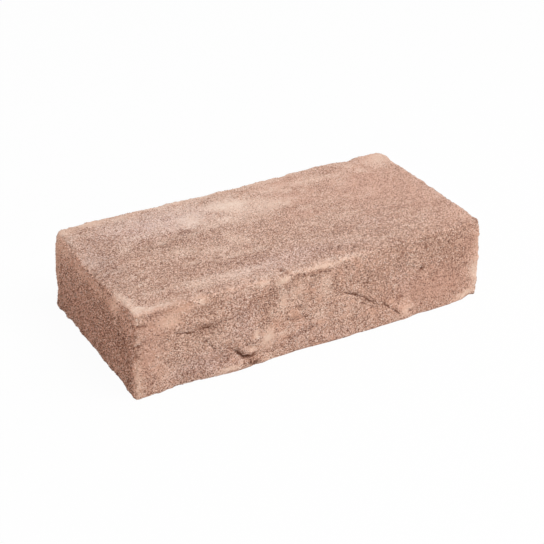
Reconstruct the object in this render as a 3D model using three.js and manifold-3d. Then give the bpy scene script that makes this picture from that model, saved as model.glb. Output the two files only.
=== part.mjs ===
import * as THREE from 'three';
import { mergeVertices } from 'three/addons/utils/BufferGeometryUtils.js';
import Module from 'manifold-3d';

// Hand-moulded facing brick: one solid block of fired clay, with no frog and no holes.
// A sanded clot of clay was thrown into a slightly tapered wooden box. So the block is wider at
// its bed than at its top, its faces swell a little, its arrises (edges) are soft and uneven, and
// the folds of the clot stay in its front face as creases.
// Millimetres. +X runs along the length, +Y from the front face to the back one, +Z up.
// The origin is the middle of the bed, which is the flat face that the brick lies on.

// The block.
const LENGTH = 207.5; // from end to end, at the top
const WIDTH = 98.2; // from the front face to the back one, at the top
const HEIGHT = 47.6; // from the bed to the top
const MOULD_TAPER = 1.8; // how far each upright face leans out, from the top down to the bed
const ARRIS_RADIUS = 1.3; // rounding of every arris that nothing has worn further

// The unevenness of its faces.
const SWELL_HEIGHT = 0.3; // long swells over whole faces
const SWELL_LENGTH = 61;
const RIPPLE_HEIGHT = 0.3; // short ripples, which show along the arrises
const RIPPLE_LENGTH = 17;

// The bed was struck off flat, this far above the lowest clay of the rough block.
const BED_TRIM = 1;

// Rows of faces along the length, the width and the height. The first rows in from each arris
// are narrow, so that they follow its rounding, and the others share out the rest.
const ROWS = [54, 24, 14];
const ARRIS_ROWS = 2;
const ARRIS_ROW_HEIGHT = 0.9;

// Where handling has rounded an arris or a corner further. A place is a share of half the length,
// width and height, from -1 to 1. Reach is how far the wear runs each way, and more is what it
// adds to the arris radius. It is negative where the arris has stayed sharper than the rest.
const WORN_PLACES = [
  { name: 'bed arris of the left end', place: [-1, 0.24, -1], reach: [9, 36, 12], more: 2.7 },
  { name: 'top arris of the left end', place: [-1, 0.1, 1], reach: [9, 40, 9], more: 1.3 },
  { name: 'left bed arris by the front', place: [-1, -0.57, -1], reach: [9, 16, 9], more: 1.8 },
  { name: 'sharp foot of the left end', place: [-1, -0.88, -1], reach: [9, 6, 9], more: -1.2 },
  { name: 'sharp back foot of the left end', place: [-1, 0.86, -1], reach: [9, 9, 9], more: -0.9 },
  { name: 'left third of the front bed arris', place: [-0.8, -1, -1], reach: [19, 9, 9], more: 2.1 },
  { name: 'front bed arris by the notch', place: [-0.17, -1, -1], reach: [11, 7, 7], more: 1.1 },
  { name: 'front right bed corner', place: [1, -1, -1], reach: [9, 8, 7], more: 3.2 },
  { name: 'front right top corner', place: [1, -1, 1], reach: [9, 9, 9], more: 1.2 },
  { name: 'back left top corner', place: [-1, 1, 1], reach: [8, 8, 8], more: 1 },
  { name: 'back right top corner', place: [1, 1, 1], reach: [8, 8, 9], more: 0.8 },
  { name: 'sharp left front upright arris', place: [-1, -1, 0], reach: [8, 8, 24], more: -0.5 },
  { name: 'right front upright arris', place: [1, -1, 0.1], reach: [8, 8, 24], more: 0.6 },
  { name: 'back top arris', place: [-0.1, 1, 1], reach: [100, 6, 6], more: 0.8 },
  { name: 'middle of the front top arris', place: [-0.1, -1, 1], reach: [38, 8, 8], more: 2.2 },
];

// Where the clay stands proud of its face, or lies below it where the height is negative.
const SWELLINGS = [
  { name: 'belly low on the front', place: [0.35, -1, -0.8], reach: [55, 20, 14], height: 1.5 },
  { name: 'foot left of the notch', place: [-0.48, -1, -0.92], reach: [13, 10, 6], height: 1.5 },
  { name: 'swell of the right end', place: [1, 0.7, 1], reach: [8, 16, 12], height: 0.7 },
  { name: 'lump by the long crack', place: [0.51, -1, -0.75], reach: [6, 6, 5], height: 1.1 },
  { name: 'lump over the notch', place: [-0.32, -1, -0.34], reach: [8, 5, 7], height: 0.9 },
  { name: 'lip over the fold', place: [-0.62, -1, 0.4], reach: [24, 5, 3.5], height: 0.6 },
  { name: 'nub under the top arris', place: [-0.204, -1, 0.87], reach: [3.4, 4, 2.2], height: 0.8 },
  { name: 'lip on the left end', place: [-1, -0.77, 1], reach: [3, 10, 3], height: 0.9 },
  { name: 'lip on the front arris', place: [-0.89, -1, 1], reach: [14, 3.5, 2.5], height: 0.7 },
  { name: 'hollow of the top', place: [0.1, 0.1, 1], reach: [70, 30, 8], height: -0.4 },
  { name: 'low stretch of the back arris', place: [-0.4, 1, 1], reach: [40, 9, 9], height: -0.7 },
  { name: 'low left of the back arris', place: [-0.89, 1, 1], reach: [14, 9, 9], height: -0.25 },
  { name: 'full place in the back arris', place: [-0.63, 1, 1], reach: [14, 9, 9], height: 0.55 },
  { name: 'dip in the back arris', place: [0.77, 1, 1], reach: [5, 6, 5], height: -1.1 },
  { name: 'full stretch of the back arris', place: [0.7, 1, 1], reach: [28, 9, 9], height: 0.6 },
  { name: 'high place in the back arris', place: [-0.34, 1, 1], reach: [6, 6, 6], height: 0.55 },
  { name: 'low place in the back arris', place: [0.02, 1, 1], reach: [9, 6, 6], height: -0.45 },
  { name: 'full back left upright arris', place: [-1, 1, 0.4], reach: [6, 6, 7], height: 0.45 },
  { name: 'hollow in the arris below it', place: [-1, 1, -0.47], reach: [6, 6, 10], height: -0.8 },
  { name: 'full left front upright arris', place: [-1, -1, 0], reach: [4, 4, 22], height: 0.4 },
  { name: 'full right front upright arris', place: [1, -1, -0.05], reach: [6, 6, 13], height: 0.4 },
  { name: 'full back foot of the left end', place: [-1, 0.86, -0.92], reach: [5, 8, 5], height: 0.3 },
  { name: 'bump on the left bed arris', place: [-1, 0.27, -0.92], reach: [3.5, 4, 4], height: 0.4 },
  { name: 'low left bed arris', place: [-1, -0.06, -0.92], reach: [3.5, 7, 4], height: -0.4 },
  { name: 'low front bed arris at the left', place: [-0.69, -1, -1], reach: [7, 6, 5], height: -0.6 },
  { name: 'full foot right of the notch', place: [-0.3, -1, -1], reach: [4.5, 6, 4], height: 0.75 },
  { name: 'low place beside that foot', place: [-0.12, -1, -1], reach: [6, 6, 5], height: -0.5 },
  { name: 'full front bed arris', place: [0.13, -1, -1], reach: [7, 6, 4], height: 0.4 },
  { name: 'low front bed arris at the right', place: [0.59, -1, -1], reach: [6, 6, 5], height: -0.45 },
  { name: 'full right top arris', place: [1, -0.14, 1], reach: [5, 6, 6], height: 0.6 },
  { name: 'full place by the back corner', place: [1, 0.35, 1], reach: [5, 7, 6], height: 0.4 },
];

// Where the wet clay has sagged straight down, by this drop at its deepest.
const SLUMPS = [
  { name: 'top arris of the left end', place: [-1, 0.12, 1], reach: [12, 30, 16], drop: 3.7 },
];

// Creases where folds of the clot met and did not close. Each runs over the front face through
// points given as a share of the half length from the middle, and a share of the height up from
// the bed. Its groove is round, with its axis sunk this far below the face, or standing above it
// where that is negative, and both ends run out of the face.
const CREASES = [
  {
    name: 'fold',
    points: [[-0.81, 0.66], [-0.785, 0.65], [-0.75, 0.635], [-0.705, 0.615]],
    halfWidth: 0.9,
    sunk: 0,
  },
  {
    name: 'fold middle',
    points: [[-0.675, 0.62], [-0.645, 0.62], [-0.595, 0.63]],
    halfWidth: 1,
    sunk: 0,
  },
  {
    name: 'fold end',
    points: [
      [-0.57, 0.64], [-0.53, 0.645], [-0.5, 0.655], [-0.47, 0.66], [-0.435, 0.695],
    ],
    halfWidth: 1,
    sunk: -0.3,
  },
  {
    name: 'notch',
    points: [[-0.485, 0.265], [-0.455, 0.195], [-0.43, 0.14], [-0.39, 0.105], [-0.355, 0.16]],
    halfWidth: 1.3,
    sunk: 0.5,
  },
  {
    name: 'notch foot',
    points: [[-0.41, 0.1], [-0.395, 0.055], [-0.372, 0.02], [-0.345, -0.05]],
    halfWidth: 1.2,
    sunk: 0.3,
  },
  {
    name: 'long crack',
    points: [
      [0.115, 0.585], [0.165, 0.565], [0.195, 0.545], [0.22, 0.5], [0.26, 0.445], [0.285, 0.41],
      [0.3, 0.375], [0.325, 0.34], [0.355, 0.285],
    ],
    halfWidth: 0.9,
    sunk: 0,
  },
  {
    name: 'long crack foot',
    points: [[0.376, 0.305], [0.4, 0.25], [0.423, 0.195]],
    halfWidth: 0.9,
    sunk: 0,
  },
  {
    name: 'long crack toe',
    points: [[0.43, 0.205], [0.455, 0.15], [0.483, 0.085]],
    halfWidth: 0.9,
    sunk: 0.1,
  },
  {
    name: 'low ledge',
    points: [[-0.2, 0.19], [-0.135, 0.195], [-0.07, 0.25], [0.02, 0.265]],
    halfWidth: 1.3,
    sunk: -0.9,
  },
  {
    name: 'mid ledge',
    points: [[-0.19, 0.42], [-0.12, 0.41], [-0.06, 0.435]],
    halfWidth: 1.3,
    sunk: -0.9,
  },
];
const CREASE_SIDES = 6;
const CREASE_STEP = 3.5;
const CREASE_RUN_OUT = 1.6; // how far a crease's ends stand off the face

// Small round pits where a pebble or a chip has left the clay.
const PITS = [
  { name: 'right pit', place: [0.63, -1, 0.17], radius: 1.3 },
  { name: 'pit by the nub', place: [-0.197, -0.89, 1], radius: 1.2 },
  { name: 'pit in the left end', place: [-1, 0.835, 0.26], radius: 1.4 },
  { name: 'pit low in the left end', place: [-1, -0.835, -0.71], radius: 1.1 },
  { name: 'chip in the left bed arris', place: [-1, 0.735, -0.92], radius: 2.2 },
];

const wasm = await Module();
wasm.setup();

const HALF = new THREE.Vector3(LENGTH / 2, WIDTH / 2, (HEIGHT + BED_TRIM) / 2);
const MIDDLE_HEIGHT = HEIGHT - HALF.z;

// Takes a share of the half size, from -1 to 1 in equal steps, to a place in millimetres: narrow
// rows by the arrises and even ones between them.
function spaceRows(share, rows, half) {
  const rowsIn = ((1 - Math.abs(share)) * rows) / 2;
  const narrow = Math.min(rowsIn, ARRIS_ROWS) * ARRIS_ROW_HEIGHT;
  const evenRows = rows / 2 - ARRIS_ROWS;
  const evenLength = half - ARRIS_ROWS * ARRIS_ROW_HEIGHT;
  const even = (Math.max(rowsIn - ARRIS_ROWS, 0) * evenLength) / evenRows;
  return Math.sign(share) * (half - narrow - even);
}

// How near a point is to a named place: 1 on it, falling smoothly to 0 past its reach.
function nearness(point, { place, reach }) {
  const dx = (point.x - place[0] * HALF.x) / reach[0];
  const dy = (point.y - place[1] * HALF.y) / reach[1];
  const dz = (point.z - place[2] * HALF.z) / reach[2];
  return Math.exp(-(dx * dx + dy * dy + dz * dz));
}

// A slow unevenness between -1 and 1, with waves of about the given length in every direction.
function unevenness(point, length, shift) {
  const turn = (2 * Math.PI) / length;
  const along = Math.sin(turn * (point.x + 0.4 * point.z) + shift);
  const across = Math.cos(turn * (0.9 * point.y - 0.3 * point.x) + 2 * shift);
  const up = Math.sin(turn * (0.8 * point.z + 0.5 * point.y) - shift);
  return 0.6 * along * across + 0.4 * up;
}

// Takes a point on the faces of the plain block, measured from its middle, to its place on the
// brick: arrises rounded, faces swollen, wet clay sagged, sides leaning out and the bed at height 0.
function shapePoint(point) {
  let radius = ARRIS_RADIUS;
  for (const worn of WORN_PLACES) radius += worn.more * nearness(point, worn);
  const inner = HALF.clone().subScalar(radius);
  const core = point.clone().clamp(inner.clone().negate(), inner);
  const outward = point.clone().sub(core).normalize();

  let proud = SWELL_HEIGHT * unevenness(point, SWELL_LENGTH, 1.3);
  proud += RIPPLE_HEIGHT * unevenness(point, RIPPLE_LENGTH, 0.4);
  for (const swelling of SWELLINGS) proud += swelling.height * nearness(point, swelling);

  const shaped = core.addScaledVector(outward, radius + proud);
  for (const slump of SLUMPS) shaped.z -= slump.drop * nearness(point, slump);
  const height = shaped.z + MIDDLE_HEIGHT;
  const lean = MOULD_TAPER * (1 - height / HEIGHT);
  shaped.x += (lean * shaped.x) / HALF.x;
  shaped.y += (lean * shaped.y) / HALF.y;
  shaped.z = height;
  return { shaped, outward };
}

function solidFrom(geometry) {
  geometry.deleteAttribute('normal');
  geometry.deleteAttribute('uv');
  const merged = mergeVertices(geometry);
  const mesh = new wasm.Mesh({
    numProp: 3,
    vertProperties: new Float32Array(merged.attributes.position.array),
    triVerts: new Uint32Array(merged.index.array),
  });
  return new wasm.Manifold(mesh);
}

function geometryFrom(solid) {
  const mesh = solid.getMesh();
  const geometry = new THREE.BufferGeometry();
  geometry.setAttribute('position', new THREE.BufferAttribute(mesh.vertProperties, 3));
  geometry.setIndex(new THREE.BufferAttribute(mesh.triVerts, 1));
  geometry.computeVertexNormals();
  return geometry;
}

function roughBlock() {
  const geometry = new THREE.BoxGeometry(2, 2, 2, ...ROWS);
  const position = geometry.attributes.position;
  for (let i = 0; i < position.count; i += 1) {
    const point = new THREE.Vector3().fromBufferAttribute(position, i);
    point.set(
      spaceRows(point.x, ROWS[0], HALF.x),
      spaceRows(point.y, ROWS[1], HALF.y),
      spaceRows(point.z, ROWS[2], HALF.z),
    );
    position.setXYZ(i, ...shapePoint(point).shaped.toArray());
  }
  return solidFrom(geometry);
}

// Everything above the bed: a box well past the block on its other sides.
function spaceAboveBed() {
  const geometry = new THREE.BoxGeometry(2 * LENGTH, 2 * WIDTH, 2 * HEIGHT);
  geometry.translate(0, 0, HEIGHT);
  return solidFrom(geometry);
}

function creaseCutter({ points, halfWidth, sunk }) {
  const route = points.map(([along, up], index) => {
    const height = Math.max(-1, (up * HEIGHT - MIDDLE_HEIGHT) / HALF.z);
    const { shaped, outward } = shapePoint(
      new THREE.Vector3(along, -1, height).multiply(HALF),
    );
    const isEnd = index === 0 || index === points.length - 1;
    return shaped.addScaledVector(outward, isEnd ? CREASE_RUN_OUT : -sunk);
  });
  const curve = new THREE.CatmullRomCurve3(route);
  const section = new THREE.Shape();
  section.absarc(0, 0, halfWidth, 0, 2 * Math.PI);
  const geometry = new THREE.ExtrudeGeometry(section, {
    extrudePath: curve,
    steps: Math.ceil(curve.getLength() / CREASE_STEP),
    curveSegments: CREASE_SIDES,
  });
  return solidFrom(geometry);
}

function pitCutter({ place, radius }) {
  const { shaped } = shapePoint(new THREE.Vector3(...place).multiply(HALF));
  const geometry = new THREE.IcosahedronGeometry(radius, 1);
  geometry.translate(...shaped.toArray());
  return solidFrom(geometry);
}

let brick = roughBlock().intersect(spaceAboveBed());
for (const crease of CREASES) brick = brick.subtract(creaseCutter(crease));
for (const pit of PITS) brick = brick.subtract(pitCutter(pit));

const firedClay = new THREE.MeshStandardMaterial({
  color: 0xc4a08c,
  roughness: 0.95,
  metalness: 0,
});
const mesh = new THREE.Mesh(geometryFrom(brick), firedClay);
mesh.name = 'brick';

// The rounding is uneven, so the middle of the finished block is found and put over the origin.
const bounds = new THREE.Box3().setFromObject(mesh);
const middle = bounds.getCenter(new THREE.Vector3());
mesh.position.set(-middle.x, -middle.y, 0);

const group = new THREE.Group();
group.name = 'facing_brick';
group.add(mesh);

export default group;
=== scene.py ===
import math

import bpy
import numpy as np
from mathutils import Matrix, Vector


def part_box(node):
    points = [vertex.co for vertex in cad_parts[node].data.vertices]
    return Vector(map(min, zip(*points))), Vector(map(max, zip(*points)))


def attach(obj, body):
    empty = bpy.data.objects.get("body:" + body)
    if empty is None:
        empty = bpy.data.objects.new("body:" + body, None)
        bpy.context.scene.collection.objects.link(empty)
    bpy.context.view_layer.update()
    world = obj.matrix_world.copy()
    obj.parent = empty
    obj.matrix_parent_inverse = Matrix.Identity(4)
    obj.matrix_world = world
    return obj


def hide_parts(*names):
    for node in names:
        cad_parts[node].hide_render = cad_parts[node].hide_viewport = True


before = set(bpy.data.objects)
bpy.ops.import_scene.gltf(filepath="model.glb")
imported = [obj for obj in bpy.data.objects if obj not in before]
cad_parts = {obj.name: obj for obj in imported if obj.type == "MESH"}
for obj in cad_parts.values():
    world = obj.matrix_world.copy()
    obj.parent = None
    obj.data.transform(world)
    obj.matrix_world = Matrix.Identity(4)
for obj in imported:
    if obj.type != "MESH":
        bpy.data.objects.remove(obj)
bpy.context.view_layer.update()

# ---------------------------------------------------------------------------------------------
# The camera. It looks down on the brick's left end and front face, from a third of the way up.
# Its lens is a long one, and it is turned very slightly about its own axis.
MM = 0.001
IMAGE_SIZE = 544
FOCAL_PIXELS = 1274
SENSOR_WIDTH = 36
NEAREST_SEEN = 50 * MM
AZIMUTH = math.radians(-31.47)
ELEVATION = math.radians(30.11)
ROLL = math.radians(1.65)
DISTANCE = 692.8 * MM
AIM_HEIGHT = 24 * MM
AIM_RIGHT = 0.5 * MM
AIM_UP = -5.1 * MM

towards_camera = Vector((
    math.sin(AZIMUTH) * math.cos(ELEVATION),
    -math.cos(AZIMUTH) * math.cos(ELEVATION),
    math.sin(ELEVATION),
))
level_right = Vector((math.cos(AZIMUTH), math.sin(AZIMUTH), 0))
level_up = towards_camera.cross(level_right)
aim = Vector((0, 0, AIM_HEIGHT)) + level_right * AIM_RIGHT + level_up * AIM_UP
camera_right = level_right * math.cos(ROLL) + level_up * math.sin(ROLL)
camera_up = level_up * math.cos(ROLL) - level_right * math.sin(ROLL)

camera_data = bpy.data.cameras.new("camera")
camera_data.sensor_width = SENSOR_WIDTH
camera_data.lens = FOCAL_PIXELS * SENSOR_WIDTH / IMAGE_SIZE
camera_data.clip_start = NEAREST_SEEN
camera = bpy.data.objects.new("camera", camera_data)
turn = Matrix((camera_right, camera_up, towards_camera)).transposed().to_4x4()
camera.matrix_world = Matrix.Translation(aim + towards_camera * DISTANCE) @ turn
bpy.context.scene.collection.objects.link(camera)
bpy.context.scene.camera = camera

# ---------------------------------------------------------------------------------------------
# The brick. One solid block of fired clay, shaped here in millimetres from the middle of its
# bed. A sanded clot was thrown by hand into a tapered wooden box, struck off flat and turned
# out, so its faces swell, its arrises (edges) are soft, and the clot's folds stay in its front.
HALF_BLOCK = np.array([103.75, 49.1, 24.3])  # half its length, width and height
BLOCK_MIDDLE = 23.3
BLOCK_HEIGHT = 47.6
MOULD_TAPER = 1.8  # how far each upright face leans out, from the top down to the bed
ARRIS_RADIUS = 1.3
ARRIS_BEND = 0.2  # how far the skin has turned where it counts as an arris
SWELL_HEIGHT = 0.3
SWELL_LENGTH = 61
SWELL_SHIFT = 1.3
RIPPLE_HEIGHT = 0.3
RIPPLE_LENGTH = 17
RIPPLE_SHIFT = 0.4
FRONT_FACE = -49
FRONT_FADE = 3  # how far behind the front face its ledges and creases fade out
GRID_ROWS = (246, 92, 78)
GRID_CROWDING = (0.15, 0.5, 0.2)  # how far the rows crowd towards the arrises

# Arrises and corners rounded further: place, reach each way, and what it adds to the radius.
WORN_PLACES = [
    ("bed arris of the left end", (-104, 12, 0), (9, 36, 12), 2.7),
    ("top arris of the left end", (-104, 5, 48), (9, 40, 9), 1.3),
    ("bed arris of the left end by the front", (-104, -28, 0), (9, 16, 9), 1.8),
    ("sharp foot of the left end", (-104, -43, 0), (9, 6, 9), -1.2),
    ("left third of the front bed arris", (-83, -49, 0), (19, 9, 9), 2.1),
    ("front bed arris right of the notch", (-18, -49, 0), (11, 7, 7), 1.1),
    ("front right bed corner", (104, -49, 0), (9, 8, 7), 2.0),
    ("front right top corner", (104, -49, 48), (9, 9, 9), 1.2),
    ("back left top corner", (-104, 49, 48), (8, 8, 8), 1.0),
    ("back right top corner", (104, 49, 48), (8, 8, 9), 0.8),
    ("sharp left front upright arris", (-104, -49, 22), (8, 8, 24), -0.5),
    ("right front upright arris", (104, -49, 26), (8, 8, 24), 0.6),
    ("back top arris", (-10, 49, 48), (100, 6, 6), 0.8),
    ("middle of the front top arris", (-10, -49, 48), (38, 8, 8), 2.2),
    ("sharp back foot of the left end", (-104, 42, 0), (9, 9, 9), -0.9),
]

# Clay that stands proud of its face, or lies below it: place, reach each way, height.
SWELLINGS = [
    ("belly low on the front", (36, -49, 4), (55, 20, 14), 1.5),
    ("foot left of the notch", (-50, -49, 1), (13, 10, 6), 1.5),
    ("swell of the right end", (104, 34, 48), (8, 16, 12), 0.7),
    ("lump by the long crack", (53, -49, 5), (6, 6, 5), 1.1),
    ("lump over the notch", (-33, -49, 15), (8, 5, 7), 0.9),
    ("lip over the fold", (-64, -49, 33), (24, 5, 3.5), 0.6),
    ("nub under the top arris", (-21.2, -49, 44.5), (3.4, 4, 2.2), 0.8),
    ("lip on the left end", (-104, -38, 48), (3, 10, 3), 0.9),
    ("lip on the front arris", (-92, -49, 48), (14, 3.5, 2.5), 0.7),
    ("hollow of the top", (10, 5, 48), (70, 30, 8), -0.4),
    ("low stretch of the back arris", (-41, 49, 48), (40, 9, 9), -0.7),
    ("low left end of the back arris", (-92, 49, 48), (14, 9, 9), -0.25),
    ("full place in the back arris", (-65, 49, 48), (14, 9, 9), 0.55),
    ("dip in the back arris", (80, 49, 48), (5, 6, 5), -1.1),
    ("full stretch of the back arris", (73, 49, 48), (28, 9, 9), 0.6),
    ("full place in the back left upright arris", (-104, 49, 33), (6, 6, 7), 0.45),
    ("hollow low in the back left upright arris", (-104, 49, 12), (6, 6, 10), -0.8),
    ("full back foot of the left end", (-104, 42, 1), (5, 8, 5), 0.3),
    ("torn lip on the left bed arris", (-104, 32.5, 0), (3, 2, 2.4), 0.45),
    ("bump on the left bed arris", (-104, 13.5, 1), (3.5, 4, 4), 0.4),
    ("hollow in the left bed arris", (-104, 22, 1), (3.5, 4, 4), -0.3),
    ("low middle of the left bed arris", (-104, -3, 1), (3.5, 7, 4), -0.4),
    ("full right front upright arris", (104, -49, 27), (6, 6, 12), 0.35),
    ("low left stretch of the front bed arris", (-72, -49, 0), (7, 6, 5), -0.6),
    ("full place right of the notch", (-31.6, -49, 0), (4.5, 6, 4), 0.75),
    ("low place by the full one", (-12, -49, 0), (6, 6, 5), -0.5),
    ("full place in the front bed arris", (14, -49, 0), (7, 6, 4), 0.4),
    ("low place under the right of the front", (61, -49, 0), (6, 6, 5), -0.45),
    ("high place in the back arris", (-35, 49, 48), (6, 6, 6), 0.55),
    ("low place in the back arris", (2, 49, 48), (9, 6, 6), -0.45),
    ("full place on the right top arris", (104, -7, 48), (5, 6, 6), 0.6),
    ("full place by the back right corner", (104, 17, 48), (5, 7, 6), 0.4),
    ("full left front upright arris", (-104, -49, 24), (4, 4, 22), 0.4),
    ("cut end of the front bed arris", (98.5, -49, 0), (4, 6, 4), -1.6),
    ("hollow low in the right upright arris", (104, -49, 12), (5, 5, 5), -0.5),
    ("full tip of the back right corner", (104, 40.5, 44), (3, 3.5, 3), 0.9),
]

# Where the wet clay has sagged straight down: place, reach each way, drop.
SLUMPS = [
    ("top arris of the left end", (-104, 6, 48), (12, 30, 16), 3.7),
]

# Creases of the front face: route as (x, z), half width, depth, the height of the lip of clay that
# hangs over the crease's upper side, and the width of the painted shade of the hairline gap along
# it.
CREASES = [
    ("fold", [(-83.6, 31.9), (-81.7, 31.5), (-77.8, 30.6), (-73.5, 29.6), (-71.4, 29.3)],
     1.1, 0.4, 0.3, 0.55),
    ("fold middle", [(-69.8, 29.5), (-66.7, 29.5), (-64.4, 29.8), (-61.8, 30.1)],
     1.9, 0.6, 0.3, 0.5),
    ("fold end", [(-61, 30.1), (-58.6, 30.9), (-55.6, 31.2), (-52.2, 31.6), (-50, 31.9)],
     1.1, 0.25, 0.25, 0.35),
    ("notch", [(-50.2, 12.6), (-47.1, 9.4), (-44.7, 6.9), (-42.5, 5.7), (-40.2, 5.2)],
     1.4, 1.6, 0.8, 1.05),
    ("notch branch", [(-41.2, 5.6), (-39.4, 6.3), (-37.6, 7.3)], 0.9, 0.8, 0.5, 0.7),
    ("notch foot", [(-41.4, 3.9), (-41, 2.2), (-41.2, 1.2)], 1.0, 0.8, 0.3, 0.8),
    ("notch side", [(-39.8, 2.0), (-38.3, 1.6), (-36.8, 1)], 1.1, 1.2, 0.3, 1.5),
    ("long crack", [(12, 26.8), (17, 25.7), (20.2, 24.9), (22.4, 23.6), (23.2, 22.4),
                    (27, 20.6), (29.6, 19.3), (31.4, 17.4), (33.7, 15.8), (36.6, 13)],
     0.8, 0.5, 0.35, 0.8),
    ("long crack foot", [(38.6, 14.8), (41.5, 12), (43.9, 9.4)], 0.9, 0.4, 0.3, 0.9),
    ("long crack toe", [(44.4, 9.8), (47.3, 7.1), (50, 4)], 0.9, 0.4, 0.3, 0.5),
    ("spur under the long crack", [(24.6, 18.9), (26.7, 17.7), (29.7, 16.1)],
     0.7, 0.25, 0.1, 0.5),
    ("curl under the fold", [(-68, 23.2), (-66.2, 22), (-61.9, 17.5), (-58.6, 15)],
     0.9, 0.25, 0.15, 0.4),
    ("ledge before the notch", [(-57, 15), (-54, 14.4), (-51, 12.8), (-49, 11.2)],
     0.9, 0.3, 0.2, 0.4),
    ("hook by the lump", [(55.6, 5.8), (57, 3.4), (60, 3)], 0.9, 0.4, 0.2, 0.6),
    ("low ledge", [(-21, 9), (-14, 9.2), (-7, 12), (2, 12.6)], 1.3, 0.25, 0.3, 0.2),
    ("mid ledge", [(-19.5, 20), (-12.3, 19.5), (-6, 20.6)], 1.4, 0.2, 0.25, 0.1),
]
CREASE_WANDER = 0.8  # how far a crease strays from its route
WANDER_LENGTH = 2.6
WANDER_SEEDS = (91, 92)
CREASE_RUN_OUT = 0.2  # the share of its length over which each end fades out
LIP_WIDTH = 1.6
GAP_REACH = 5
NO_GAP = 9.0
FULL_SHADE_DEPTH = 2.2  # a crease as deep as this is painted in full shade
SHADE_CURVE = 1.5

# Pits and open flaws: place, reach each way, depth.
PITS = [
    # Front face
    ((65, -49, 27.3), (1, 2, 1.2), 2.0),
    ((-93.8, -49, 39.4), (0.8, 2, 0.7), 0.6),
    ((-72.7, -49, 41.3), (0.9, 2, 0.7), 0.4),
    ((-71.8, -49, 38.6), (1.2, 2, 0.9), 0.5),
    ((-53.1, -49, 15.7), (1.6, 2, 0.8), 0.5),
    ((-50.8, -49, 13.7), (1.1, 2, 0.8), 0.5),
    ((-5, -49, 28.1), (1.6, 2, 0.8), 0.5),
    ((10, -49, 19.8), (1.3, 2, 1), 0.4),
    ((50.4, -49, 15), (1.2, 2, 1), 0.5),
    ((53.1, -49, 41.5), (0.9, 2, 1), 0.4),
    ((67, -49, 40.7), (1.1, 2, 1.1), 0.4),
    # Front top arris
    ((-44.5, -49, 46.4), (1.4, 2, 0.9), 0.6),
    ((-22.8, -48.4, 47.6), (1.2, 1.2, 1.6), 0.8),
    ((-20.3, -44.2, 48), (1.2, 1.4, 2), 1.7),
    ((-19.2, -47.4, 47.6), (1.4, 1.4, 1.6), 1.0),
    ((65.7, -49, 44.5), (1.1, 2, 1), 0.4),
    # Left end and its front upright arris
    ((-104, 40.9, 28), (1.6, 1.6, 2), 0.9),
    ((-104, 39.5, 0.6), (2.4, 2.4, 1.2), 1.2),
    ((-104, 33, 2.6), (2, 1.8, 1.2), 0.7),
    ((-104, -41, 6), (2, 1.4, 1.1), 1.1),
    ((-104, -48, 35.2), (1.6, 1.4, 1.8), 1.1),
    ((-103.6, -49, 24.6), (1.4, 1.6, 1.8), 0.9),
    ((-102.4, -49, 41), (1.1, 2, 0.8), 1.1),
    ((-102.3, -49, 30.2), (1.5, 2, 0.9), 1.1),
    ((-99.7, -49, 40.3), (1.5, 2, 0.7), 0.8),
    ((-99.6, -49, 31.5), (1.2, 2, 0.8), 0.6),
]
PIT_SHADE = 0.9

# Random unevenness, each as layers of weight, size in millimetres and seed.
LUMPS = [(0.08, 8, 1)]
CHIPS = [(1, 5, 3), (0.8, 2.4, 4)]
CRUMBS = [(0.35, 1.5, 7)]
LEDGES = [(0.24, (14, 9, 4), 5), (0.144, (6, 4, 2), 6)]
GRAIN_RELIEF = [(0.7, 1.9, 8), (0.6, 4.2, 9)]
CHIP_HEIGHT = 0.55
CHIP_TOP = 0.7  # chips higher than this are rubbed down
CHIP_RUB = 0.5
NOISE_TABLE = 4096
NOISE_STEPS = (73856093, 19349663, 83492791)


def lattice_noise(points, size, seed):
    """Smooth noise between -1 and 1 at each point, with lumps about size across."""
    table = np.random.default_rng(seed).uniform(-1, 1, NOISE_TABLE)
    scaled = points / np.asarray(size, float)
    cell = np.floor(scaled).astype(np.int64)
    share = scaled - cell
    share = share * share * (3 - 2 * share)
    total = np.zeros(len(points))
    for corner in np.ndindex(2, 2, 2):
        x, y, z = ((cell + corner) * NOISE_STEPS).T
        value = table[(x ^ y ^ z) % NOISE_TABLE]
        total += value * np.prod(np.where(corner, share, 1 - share), axis=1)
    return total


def layered_noise(points, layers):
    """The sum of layers of noise, each with its weight, size and seed."""
    return sum(weight * lattice_noise(points, size, seed) for weight, size, seed in layers)


def unevenness(points, length, shift):
    """The slow unevenness of the CAD block, between -1 and 1, in waves of about this length."""
    x, y, z = 2 * math.pi / length * points.T
    along = np.sin(x + 0.4 * z + shift)
    across = np.cos(0.9 * y - 0.3 * x + 2 * shift)
    return 0.6 * along * across + 0.4 * np.sin(0.8 * z + 0.5 * y - shift)


def nearness(points, place, reach):
    """1 at the place, falling smoothly to 0 past its reach."""
    away = (points - np.array(place)) / np.array(reach)
    return np.exp(-(away ** 2).sum(1))


def crease_distance(points, route):
    """How far each point is from a route on the front face, how far above it, and where along."""
    flat = points[:, [0, 2]] + CREASE_WANDER * np.stack(
        [lattice_noise(points, WANDER_LENGTH, seed) for seed in WANDER_SEEDS], 1)
    route = np.array(route, float)
    best = np.full(len(flat), np.inf)
    above = np.zeros(len(flat))
    along = np.zeros(len(flat))
    lengths = np.linalg.norm(np.diff(route, axis=0), axis=1)
    passed = 0
    for start, end, length in zip(route[:-1], route[1:], lengths):
        step = (end - start) / length
        run = np.clip((flat - start) @ step, 0, length)
        offset = flat - start - run[:, None] * step
        distance = np.linalg.norm(offset, axis=1)
        closer = distance < best
        best[closer] = distance[closer]
        above[closer] = offset[closer, 1]
        along[closer] = ((passed + run) / lengths.sum())[closer]
        passed += length
    return best, above, along


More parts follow.
